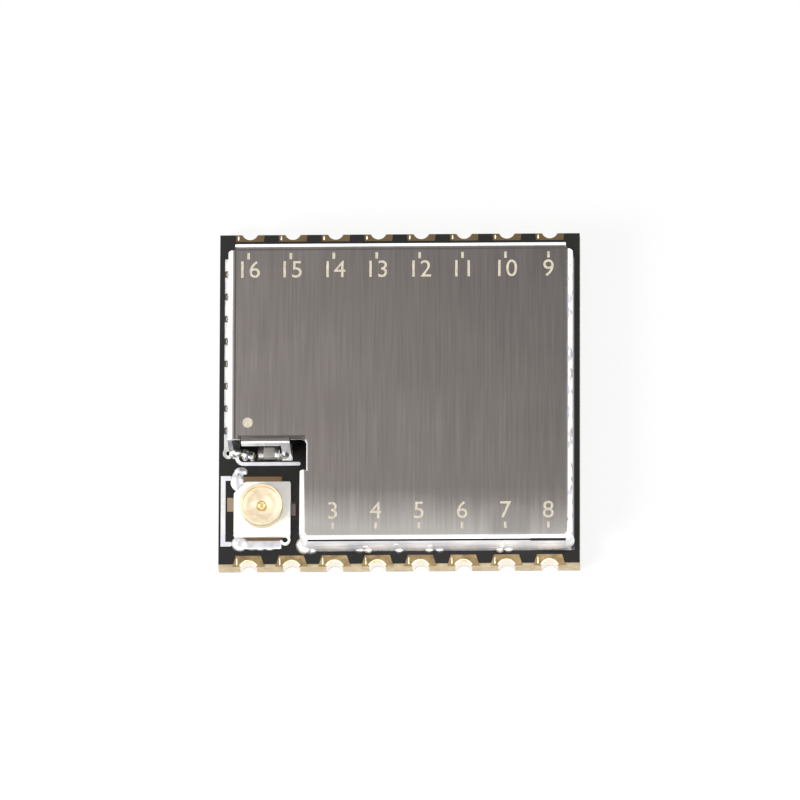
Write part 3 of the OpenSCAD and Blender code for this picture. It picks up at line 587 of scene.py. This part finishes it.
class MODULE_OT_can(bpy.types.Operator):
    """Folds the shield can from one sheet, with its notch, lip, leg and open corners"""

    bl_idname = "module.can"
    bl_label = "Shield can"

    def execute(self, context):
        t = SIZES.sheet_thickness
        mid = CAN_HIGH.z - SIZES.mark_depth - t / 2
        foot = BOARD_TOP + 0.002
        points, folds = can_outline(t)
        bm = bmesh.new()
        verts = [bm.verts.new((x, y, mid)) for x, y in points]
        bm.faces.new(verts)
        fold_edges, lip_low = [], None
        for name, (i, j) in folds.items():
            pair = (verts[i], verts[j])
            fold_edges.append(pair)
            drop = LIP_DROP - t / 2 if name == "lip" else mid - foot
            moved = fold_down(bm, pair, drop)
            if name == "front":
                edge = bm.edges.get(moved)
                width = abs(moved[0].co.x - moved[1].co.x)
                split_edge(bm, edge, 1 - 1.5 / width)
                max(moved, key=lambda v: v.co.x).co.z += 0.3
            if name == "lip":
                edge = bm.edges.get(moved)
                share = (LEG_X0 - LIP_X0) / (LEG_X1 - LIP_X0)
                start = split_edge(bm, edge, share)
                end = max(moved, key=lambda v: v.co.x)
                leg = bmesh.ops.extrude_edge_only(bm, edges=[bm.edges.get((start, end))])["geom"]
                tip = [g for g in leg if isinstance(g, bmesh.types.BMVert)]
                for v in tip:
                    v.co.z = foot
        bm.edges.index_update()
        bmesh.ops.bevel(bm, geom=[bm.edges.get(p) for p in fold_edges],
                        offset=SIZES.bend_radius, offset_type="OFFSET", affect="EDGES",
                        segments=8, profile=0.5, material=-1, clamp_overlap=False)
        bmesh.ops.remove_doubles(bm, verts=bm.verts, dist=0.002)
        bmesh.ops.recalc_face_normals(bm, faces=bm.faces)
        lid = max(bm.faces, key=lambda f: f.calc_area())
        if lid.normal.z < 0:
            bmesh.ops.reverse_faces(bm, faces=bm.faces)
        self.unfold(bm, mid)
        bm = self.thicken(bm, t)
        # The lid's edge beside the relief cut was drawn down by the punch
        top, corner = mid + t / 2 - 0.002, Vector((NOTCH.x + 0.12 + t, NOTCH.y + 0.17 + t))
        drawn = [e for e in sharp_edges(bm, angle=60) if all(
            v.co.z > top and corner.x - 0.3 < v.co.x < corner.x + 0.02
            and WALL_END - 0.01 < v.co.y < corner.y + 0.01 for v in e.verts)]
        bmesh.ops.bevel(bm, geom=drawn, offset=0.09, offset_type="OFFSET", affect="EDGES",
                        segments=4, profile=0.5, material=-1, clamp_overlap=False)
        bmesh.ops.bevel(bm, geom=sharp_edges(bm, angle=60), offset=SIZES.rolled_edge,
                        offset_type="OFFSET", affect="EDGES", segments=2, profile=0.5,
                        material=-1, clamp_overlap=True)
        piece(bm, "can_sheet", brushed_nickel_silver(), ("shield_can",), angle=60)
        return {"FINISHED"}

    def thicken(self, bm, t):
        """Gives the folded sheet its thickness, half to each side."""
        thin = bpy.data.meshes.new("thin_sheet")
        bm.to_mesh(thin)
        bm.free()
        carrier = bpy.data.objects.new("thin_sheet", thin)
        bpy.context.scene.collection.objects.link(carrier)
        wall = carrier.modifiers.new("sheet", "SOLIDIFY")
        wall.thickness = t
        wall.offset = 0
        wall.use_even_offset = True
        solid = bpy.data.meshes.new_from_object(
            carrier.evaluated_get(bpy.context.evaluated_depsgraph_get()))
        thick = bmesh.new()
        thick.from_mesh(solid)
        bpy.data.objects.remove(carrier)
        bpy.data.meshes.remove(thin)
        bpy.data.meshes.remove(solid)
        return thick

    def unfold(self, bm, mid):
        """Gives the sheet the coordinates it had before it was folded, so that the brushed
        grain runs on over the bends."""
        layer = bm.loops.layers.uv.new("sheet")
        for face in bm.faces:
            centre = face.calc_center_median()
            for loop in face.loops:
                co = loop.vert.co
                fall = mid - co.z
                u, v = co.x, co.y
                if centre.z < mid - 0.0001:
                    n = face.normal
                    if abs(n.x) > abs(n.y):
                        u += math.copysign(fall, n.x)
                    else:
                        v += math.copysign(fall, n.y)
                loop[layer].uv = (u, v)


# Antenna receptacle

class MODULE_OT_receptacle(bpy.types.Operator):
    """Turns the ring and the centre contact, and moulds the housing"""

    bl_idname = "module.receptacle"
    bl_label = "Antenna receptacle"

    def execute(self, context):
        self.housing()
        self.shell()
        self.contact()
        return {"FINISHED"}

    def housing(self):
        half, height, cut = 1.32, 0.36, 0.55
        bm = bmesh.new()
        outline = [(-half, -half), (half, -half), (half, half), (-half + cut, half),
                   (-half, half - cut)]
        base = bm.faces.new([bm.verts.new((JACK.x + x, JACK.y + y, BOARD_TOP))
                             for x, y in outline])
        top = bmesh.ops.extrude_face_region(bm, geom=[base])["geom"]
        bmesh.ops.translate(bm, vec=(0, 0, height),
                            verts=[g for g in top if isinstance(g, bmesh.types.BMVert)])
        bmesh.ops.recalc_face_normals(bm, faces=bm.faces)
        bevel(bm, [e for e in sharp_edges(bm, angle=30)
                   if max(v.co.z for v in e.verts) > BOARD_TOP + 0.01], 0.07, 3)
        # Hooked foot at the front right corner
        hook = (JACK.x + half - 0.25, JACK.y - half - 0.125, BOARD_TOP)
        turned(bm, hook, [(0.13, 0.0), (0.13, 0.15), (0.15, 0.18), (0.23, 0.18), (0.25, 0.15),
                          (0.25, 0.0)], steps=36, sweep=270, start=190)
        bmesh.ops.recalc_face_normals(bm, faces=bm.faces)
        material = moulded("ivory_crystal_polymer", FINISH_IVORY[0], FINISH_IVORY[1], 0.42, 0.1,
                           0.002, IOR=1.55, Subsurface_Weight=0.25, Subsurface_Scale=0.0004)
        piece(bm, "housing_moulding", material, ("receptacle_housing",))

    def shell(self):
        bm = bmesh.new()
        turned(bm, JACK, [(0.87, 0.30), (0.87, 1.19), (0.885, 1.232), (0.925, 1.25), (0.965, 1.243),
                          (0.99, 1.215), (1.0, 1.17), (1.0, 0.87), (0.985, 0.835), (0.95, 0.81),
                          (0.95, 0.30)], steps=72)
        # Dished floor round the centre contact, where the real part has a white insulator: it takes
        # the ring's pale gold, as painted reflection of the gold walls on the white floor
        turned(bm, JACK, [(0.2, 0.33), (0.2, 0.86), (0.3, 0.93), (0.62, 0.95), (0.80, 0.96),
                          (0.86, 1.0), (0.90, 1.0), (0.90, 0.33)], steps=72)
        for s in (-1, 1):
            block(bm, (JACK.x, JACK.y + s * 1.42, BOARD_TOP), (1.8, 0.6, 0.12), 0.025)
        bmesh.ops.recalc_face_normals(bm, faces=bm.faces)
        # Pale, greyed gold, so that the floor shows the tan of painted reflection; the back tab is
        # darkened as painted dark reflection, the front tab as painted shade under the housing
        material = flash_gold("gold_plated_bronze", (0.42, 0.54),
                              ("#c8b99e", "#d2c3a8", "#dccfb6"),
                              [("#75614b", {"y": (JACK.y + 1.34, 0)}),
                               ("#332c25", {"y": (JACK.y + 1.62, 0)}),
                               ("#6a5846", {"y": (-9, JACK.y - 1.34)})], depth=0.0015)
        piece(bm, "ring_and_tabs", material, ("receptacle_shell",))

    def contact(self):
        bm = bmesh.new()
        turned(bm, JACK, [(0.0, 0.1), (0.23, 0.1), (0.23, 0.84), (0.215, 0.91), (0.17, 0.965),
                          (0.10, 0.993), (0.0, 1.0)], steps=40)
        bmesh.ops.remove_doubles(bm, verts=bm.verts, dist=0.001)
        bmesh.ops.delete(bm, geom=[e for e in bm.edges if not e.link_faces], context="EDGES")
        block(bm, (JACK.x + 1.0, JACK.y, BOARD_TOP), (1.12, 0.6, 0.12), 0.02)
        bmesh.ops.recalc_face_normals(bm, faces=bm.faces)
        # The tail is darker towards the can: painted shade beside the can's wall
        material = flash_gold("hard_gold_contact", (0.18, 0.28),
                              ("#c3a468", "#d4b87e", "#e6d1a0"),
                              [("#57504a", {"x": (JACK.x + 1.25, 0)})])
        piece(bm, "centre_contact", material, ("receptacle_contact",))


FINISH_IVORY = ("#f6f2e8", "#fdfcf7")


# Solder

class MODULE_OT_solder(bpy.types.Operator):
    """Melts the drops and fillets that hold the can and the receptacle"""

    bl_idname = "module.solder"
    bl_label = "Solder joints"

    def execute(self, context):
        metal = bright_solder()
        front, left, right = CAN_LOW.y, CAN_LOW.x, CAN_HIGH.x
        bm = bmesh.new()
        for k, x in enumerate((-1.8, -1.4, 0.0, 1.4, 1.9, 4.7, 5.1)):
            solder_drop(bm, (x, front, 0.08), (0.2, 0.1 + 0.01 * (k % 3), 0.22), k)
        for k, (x, up) in enumerate(((1.45, 0.9), (4.8, 0.7), (5.05, 1.3), (-1.5, 0.8), (-0.1, 1.2))):
            solder_drop(bm, (x, front + 0.01, up), (0.14, 0.06, 0.1), 60 + k)
        solder_drop(bm, (NOTCH.x + 0.2, front + 0.24, 0.2), (0.44, 0.4, 0.44), 11, 0.04)
        solder_drop(bm, (NOTCH.x + 0.5, front + 0.06, 0.06), (0.3, 0.2, 0.3), 12, 0.06)
        solder_drop(bm, (LEG_X0 + 0.08, NOTCH.y - 0.02, 0.04), (0.24, 0.18, 0.28), 13)
        solder_drop(bm, (left + 0.34, NOTCH.y + 0.08, 0.1), (0.26, 0.24, 0.34), 14)
        solder_drop(bm, (left + 0.12, NOTCH.y + 0.02, 0), (0.14, 0.2, 0.22), 15)
        solder_fillet(bm, (left, CAN_HIGH.y - 0.05, 0), (left, NOTCH.y + 0.5, 0), (-1, 0, 0),
                      0.17, 0.8, 3, VIAS)
        bmesh.ops.recalc_face_normals(bm, faces=bm.faces)
        piece(bm, "can_joints", metal, ("shield_solder",), weighted=False)
        # Front corners, filled between the ends of the flaps: on the right only from the
        # flap's raised foot to the bend
        bm = bmesh.new()
        for x, start, heap in (
                (NOTCH.x + 0.32, 180, [(0.0, 1.2), (0.33, 1.3), (0.3, 2.2), (0.2, 2.8), (0.1, 3.0),
                                       (0.0, 3.02)]),
                (right - 0.32, 270, [(0.0, 3.185), (0.12, 3.175), (0.22, 3.1), (0.29, 2.85),
                                     (0.35, 2.2), (0.38, 1.6), (0.3, 1.35), (0.0, 1.25)])):
            turned(bm, (x, front + 0.32, 0), heap, steps=12, sweep=90, start=start)
        bmesh.ops.remove_doubles(bm, verts=bm.verts, dist=0.001)
        bmesh.ops.recalc_face_normals(bm, faces=bm.faces)
        frosted = bright_solder("frosted_solder", (0.5, 0.64), 0.012, ("#dcdcde", "#efeff0"), 0.8)
        piece(bm, "corner_joints", frosted, weighted=False)
        bm = bmesh.new()
        solder_drop(bm, (JACK.x - 1.16, JACK.y + 1.4, 0.02), (0.34, 0.52, 0.15), 21, 0.14)
        solder_drop(bm, (JACK.x - 1.0, JACK.y + 1.84, 0), (0.3, 0.26, 0.13), 22, 0.14)
        solder_drop(bm, (JACK.x - 1.04, JACK.y - 1.62, 0), (0.42, 0.36, 0.28), 23, 0.06)
        # The front tab, flooded from edge to edge
        block(bm, (JACK.x - 0.02, JACK.y - 1.68, BOARD_TOP + 0.002), (1.86, 0.42, 0.17), 0.08, 4)
        for k, x in enumerate((-0.5, -0.1, 0.35)):
            solder_drop(bm, (JACK.x + x, JACK.y - 1.8, 0), (0.3, 0.13, 0.16), 24 + k)
        lumpy = bright_solder("lumpy_solder", (0.36, 0.5), 0.012, ("#b6b6ba", "#d2d2d6"))
        piece(bm, "receptacle_joints", lumpy, ("receptacle_solder",), weighted=False)
        return {"FINISHED"}


# Open parts in the window

class MODULE_OT_window_parts(bpy.types.Operator):
    """Rolls the edges of the capacitor and the inductor that stand in the can's window"""

    bl_idname = "module.window_parts"
    bl_label = "Parts in the window"

    def execute(self, context):
        ends = MATERIALS["part_ends"]
        for part, slot in (("filter_capacitor", "capacitor_ceramic"),
                           ("filter_inductor", "inductor_ceramic")):
            for kind, material in (("_body", MATERIALS[slot]), ("_ends", ends)):
                bm = bmesh.new()
                bm.from_mesh(frame["nodes"][part + kind].data)
                bmesh.ops.scale(bm, vec=(1 / MM, 1 / MM, 1 / MM), verts=bm.verts)
                bmesh.ops.remove_doubles(bm, verts=bm.verts, dist=0.0005)
                bmesh.ops.dissolve_limit(bm, angle_limit=math.radians(2), verts=bm.verts,
                                         edges=bm.edges)
                bmesh.ops.recalc_face_normals(bm, faces=bm.faces)
                bevel(bm, sharp_edges(bm), 0.02 if kind == "_body" else 0.03, 2)
                piece(bm, part + kind + "_rolled", material,
                      (part + kind,))
        bm = bmesh.new()
        for k, (x, y, radii) in enumerate((
                (-7.17, -2.7, (0.17, 0.24, 0.36)), (-6.85, -2.78, (0.11, 0.18, 0.3)),
                (-6.48, -2.64, (0.12, 0.2, 0.36)), (-5.64, -2.68, (0.15, 0.22, 0.3)))):
            solder_drop(bm, (x, y, 0.08), radii, 31 + k, 0.06)
        piece(bm, "filter_joints", bright_solder(), ("filter_solder",), weighted=False)
        return {"FINISHED"}


# Contacts

class MODULE_OT_contact_rims(bpy.types.Operator):
    """Raises the bead of plating round each half hole of the front row, and the ridge beside each
    contact
    """

    bl_idname = "module.contact_rims"
    bl_label = "Contact rims"

    def execute(self, context):
        bm = bmesh.new()
        bead, sweep = 0.06, 132
        section = [(0.42 + bead * math.cos(a), 0.98 + bead * math.sin(a)) for a in
                   [math.radians(d) for d in range(0, 360, 45)]]
        for number in range(1, 17):
            front = number <= 8
            x = -7 + 2 * (number - 1 if front else 16 - number)
            if front:
                turned(bm, (x, -8.14, 0), section, steps=28, sweep=sweep, start=90 - sweep / 2)
            y, length = (-7.75, 0.42) if front else (7.84, 0.26)
            block(bm, (x - 0.54, y, 0.97), (0.06, length * 0.8, 0.055), 0.025, 3)
        bmesh.ops.recalc_face_normals(bm, faces=bm.faces)
        # Rims and ridges are a paler gold than the lands: painted highlight on their rolled edges
        material = flash_gold("rolled_gold_rim", (0.2, 0.3), ("#e6d6b0", "#efe1c0", "#f6ecd2"))
        piece(bm, "contact_rims", material, weighted=False)
        return {"FINISHED"}


# Lid marks

class MODULE_OT_lid_marks(bpy.types.Operator):
    """Marks the numbers of the contacts on the lid, with a dot for the first one"""

    bl_idname = "module.lid_marks"
    bl_label = "Contact numbers"

    def execute(self, context):
        top = CAN_HIGH.z - 0.0005
        depth = SIZES.mark_depth + 0.004
        bm = bmesh.new()
        for number in range(1, 17):
            front = number <= 8
            k = number - 1 if front else 16 - number
            x = -7 + 2 * k
            if front and x < NOTCH.x:
                continue
            y = CAN_LOW.y + 1.35 if front else CAN_HIGH.y - 1.35
            x = min(max(x, CAN_LOW.x + 0.95), CAN_HIGH.x - 0.95)
            self.write(bm, str(number), x, y, top, depth)
            tick_y = CAN_LOW.y + 0.66 if front else CAN_HIGH.y - 0.66
            block(bm, (x, tick_y, top - depth), (0.12, 0.3, depth))
        dot = bmesh.ops.create_cone(bm, cap_ends=True, radius1=0.24, radius2=0.24, depth=depth,
                                    segments=40)["verts"]
        bmesh.ops.translate(bm, vec=(CAN_LOW.x + 0.95, NOTCH.y + 0.95, top - depth / 2), verts=dot)
        bmesh.ops.remove_doubles(bm, verts=bm.verts, dist=0.0004)
        bmesh.ops.recalc_face_normals(bm, faces=bm.faces)
        piece(bm, "lid_marks", laser_mark(), weighted=False)
        return {"FINISHED"}

    def write(self, bm, words, x, y, top, depth):
        curve = bpy.data.curves.new("number", "FONT")
        curve.body = words
        curve.size = SIZES.mark_height * 1.35
        curve.align_x = "CENTER"
        curve.align_y = "CENTER"
        curve.extrude = depth / 2
        curve.resolution_u = 6
        carrier = bpy.data.objects.new("number", curve)
        mesh = bpy.data.meshes.new_from_object(carrier)
        mesh.transform(Matrix.Translation((x, y, top - depth / 2)))
        bm.from_mesh(mesh)
        bpy.data.objects.remove(carrier)
        bpy.data.curves.remove(curve)
        bpy.data.meshes.remove(mesh)


# Finishes of the CAD nodes

MATERIALS = {}


class MODULE_OT_finishes(bpy.types.Operator):
    """Gives each node of the frame the finish of its slot"""

    bl_idname = "module.finishes"
    bl_label = "Finishes"

    def execute(self, context):
        # Painted shade darkens the rear lands behind the can; painted reflection makes the walls of
        # the half holes pale cream
        gold = flash_gold(stains_and_shade=[("#6c5a42", {"y": (7.3, 9)}), ("#f3eadb", {"z": (0.08, 0.9)})])
        tin = levelled_tin()
        MATERIALS.update({
            "laminate": sawn_laminate(),
            "solder_mask": black_solder_mask(),
            "gold_plating": gold,
            "tin": tin,
            "print": white_ink(),
            "can_sheet": tin,
            "solder": bright_solder(),
            "receptacle_plastic": gold,
            "receptacle_metal": gold,
            "contact_gold": gold,
            "capacitor_ceramic": moulded("fired_titanate", "#8b8783", "#a6a29d", 0.5),
            "inductor_ceramic": moulded("fired_ferrite", "#50555c", "#6f757d", 0.45),
            "part_ends": tin,
            "chip_moulding": moulded("black_epoxy_moulding", "#242426", "#303033", 0.6, 0.05),
            "crystal_ceramic": moulded("fired_alumina", "#7c7265", "#958a7c", 0.55),
            "crystal_metal": tin,
            "resistor_coat": moulded("black_glaze", "#1d1d1f", "#2a2a2d", 0.3),
        })
        for part in frame["record"]["subparts"]:
            data = frame["nodes"][part["node"]].data
            data.materials.clear()
            data.materials.append(MATERIALS[part["material_slot"]])
        land = frame["nodes"]["shield_land"].data
        # Painted shade darkens the land beyond the can's right wall; the land is also darker in
        # patches beside the vias
        land.materials[0] = levelled_tin("levelled_tin_land", [("#5e5b58", {"x": (8.03, 9)})] + [
            ("#5c524b", {"x": (-8.2, -7.9), "y": (y - 0.13, y + 0.13), "soft": 0.05})
            for y in VIAS[1:]])
        # Painted shade darkens the signal land beside the can's wall and the lands behind and in
        # front of the housing; the land to the left is a greyer tan
        land = frame["nodes"]["receptacle_lands"].data
        land.materials[0] = flash_gold("flash_gold_by_receptacle", stains_and_shade=[
            ("#3e3833", {"x": (JACK.x + 1.3, 0)}), ("#4e4236", {"y": (JACK.y + 1.3, 0)}),
            ("#4e4236", {"y": (-9, JACK.y - 1.3)}),
            ("#9c8a72", {"x": (-9, JACK.x - 1.3), "y": (JACK.y - 1, JACK.y + 1)})])
        return {"FINISHED"}


# Studio

def panel_lamp(name, toward, distance, size, radiance, diffuse=True):
    """A square soft panel that faces the module. toward points from the module to the panel."""
    data = bpy.data.lights.new(name, "AREA")
    data.shape = "RECTANGLE"
    data.size, data.size_y = size
    data.energy = radiance * math.pi * size[0] * size[1]
    lamp = bpy.data.objects.new(name, data)
    toward = Vector(toward).normalized()
    lamp.location = toward * distance
    lamp.rotation_euler = toward.to_track_quat("Z", "Y").to_euler()
    lamp.visible_diffuse = diffuse
    bpy.context.scene.collection.objects.link(lamp)
    return lamp


class MODULE_OT_studio(bpy.types.Operator):
    """Lays the pale floor, hangs the soft panels and sets up the camera"""

    bl_idname = "module.studio"
    bl_label = "Studio"

    def execute(self, context):
        self.floor()
        self.surround()
        self.panels()
        self.camera()
        context.scene.view_settings.view_transform = "Standard"
        return {"FINISHED"}

    def floor(self):
        bm = bmesh.new()
        bmesh.ops.create_grid(bm, x_segments=4, y_segments=4, size=1.5)
        mesh = bpy.data.meshes.new("floor")
        bm.to_mesh(mesh)
        bm.free()
        made = bpy.data.objects.new("floor", mesh)
        made.location.z = -0.00002
        bpy.context.scene.collection.objects.link(made)
        paper = bpy.data.materials.new("white_paper")
        paper.use_nodes = True
        tree = paper.node_tree
        tree.nodes.clear()
        rays = node(tree, "LightPath").outputs
        seen = sums(tree, sums(tree, rays["Is Camera Ray"], rays["Is Glossy Ray"], "MAXIMUM"),
                    rays["Is Transmission Ray"], "MAXIMUM")
        share = sums(tree, seen, 0.86, "MULTIPLY")
        matt = node(tree, "BsdfDiffuse", {"Color": linear("#fdfdfd")})
        glow = node(tree, "Emission", {"Color": (1, 1, 1, 1), "Strength": 1.0})
        mixed = node(tree, "MixShader", {0: share, 1: matt.outputs[0], 2: glow.outputs[0]})
        node(tree, "OutputMaterial", {"Surface": mixed.outputs[0]})
        mesh.materials.append(paper)

    def surround(self):
        world = bpy.data.worlds.new("surround")
        bpy.context.scene.world = world
        world.use_nodes = True
        tree = world.node_tree
        tree.nodes.clear()
        rays = node(tree, "LightPath").outputs
        seen = sums(tree, sums(tree, rays["Is Camera Ray"], rays["Is Glossy Ray"], "MAXIMUM"),
                    rays["Is Transmission Ray"], "MAXIMUM")
        strength = spread(tree, seen, 0.0, 1.0, STUDIO.world, 1.0)
        sky = node(tree, "Background", {"Color": (1, 1, 1, 1), "Strength": strength})
        node(tree, "OutputWorld", {"Surface": sky.outputs[0]})

    def panels(self):
        panel_lamp("left_panel", (-1, 0, 0.62), 0.16, (0.16, 0.20), STUDIO.sides, False)
        panel_lamp("right_panel", (1, 0, 0.62), 0.16, (0.16, 0.20), STUDIO.sides, False)
        panel_lamp("front_panel", (0, -1, 0.5), 0.16, (0.20, 0.12), STUDIO.front, False)
        panel_lamp("rear_panel", (0, 1, 0.35), 0.16, (0.20, 0.08), STUDIO.rear, False)
        key = panel_lamp("key_panel", (-0.9, -0.6, 0.9), 0.25, (0.09, 0.09), 21)
        key.visible_glossy = False

    def camera(self):
        data = bpy.data.cameras.new("camera")
        data.lens = 710
        data.sensor_width = 36
        data.shift_x, data.shift_y = 0.00075, -0.0004
        back = Vector((0.0349, -0.2588, 0.9653)).normalized()
        right = Vector((1, 0, 0))
        right = (right - back * right.dot(back)).normalized()
        up = back.cross(right)
        roll = math.radians(0.35)
        right, up = (right * math.cos(roll) - up * math.sin(roll),
                     up * math.cos(roll) + right * math.sin(roll))
        view = Matrix((right, up, back)).transposed().to_4x4()
        view.translation = Vector((0, 0, 0.001)) + back * 0.735
        made = bpy.data.objects.new("camera", data)
        made.matrix_world = view
        bpy.context.scene.collection.objects.link(made)
        bpy.context.scene.camera = made


class MODULE_PT_sidebar(bpy.types.Panel):
    """Lists the module's pieces and the studio"""

    bl_label = "Radio module"
    bl_idname = "MODULE_PT_sidebar"
    bl_space_type = "VIEW_3D"
    bl_region_type = "UI"
    bl_category = "Module"

    def draw(self, context):
        scene = context.scene
        for group in (scene.module_finish, scene.module_sizes, scene.module_studio):
            column = self.layout.column()
            for key in group.bl_rna.properties.keys():
                if key not in ("rna_type", "name"):
                    column.prop(group, key)
        for operator in STEPS:
            self.layout.operator(operator.bl_idname)


GROUPS = (ModuleFinish, ModuleSizes, StudioLight)
STEPS = (MODULE_OT_finishes, MODULE_OT_can, MODULE_OT_receptacle, MODULE_OT_solder,
         MODULE_OT_window_parts, MODULE_OT_contact_rims, MODULE_OT_lid_marks, MODULE_OT_studio)


def register():
    for kind in GROUPS + STEPS + (MODULE_PT_sidebar,):
        bpy.utils.register_class(kind)
    bpy.types.Scene.module_finish = bpy.props.PointerProperty(type=ModuleFinish)
    bpy.types.Scene.module_sizes = bpy.props.PointerProperty(type=ModuleSizes)
    bpy.types.Scene.module_studio = bpy.props.PointerProperty(type=StudioLight)


def unregister():
    del bpy.types.Scene.module_finish
    del bpy.types.Scene.module_sizes
    del bpy.types.Scene.module_studio
    for kind in reversed(GROUPS + STEPS + (MODULE_PT_sidebar,)):
        bpy.utils.unregister_class(kind)


def main():
    global FINISH, SIZES, STUDIO
    register()
    FINISH = bpy.context.scene.module_finish
    SIZES = bpy.context.scene.module_sizes
    STUDIO = bpy.context.scene.module_studio
    for step in STEPS:
        area, name = step.bl_idname.split(".")
        getattr(getattr(bpy.ops, area), name)()


if __name__ == "__main__":
    main()
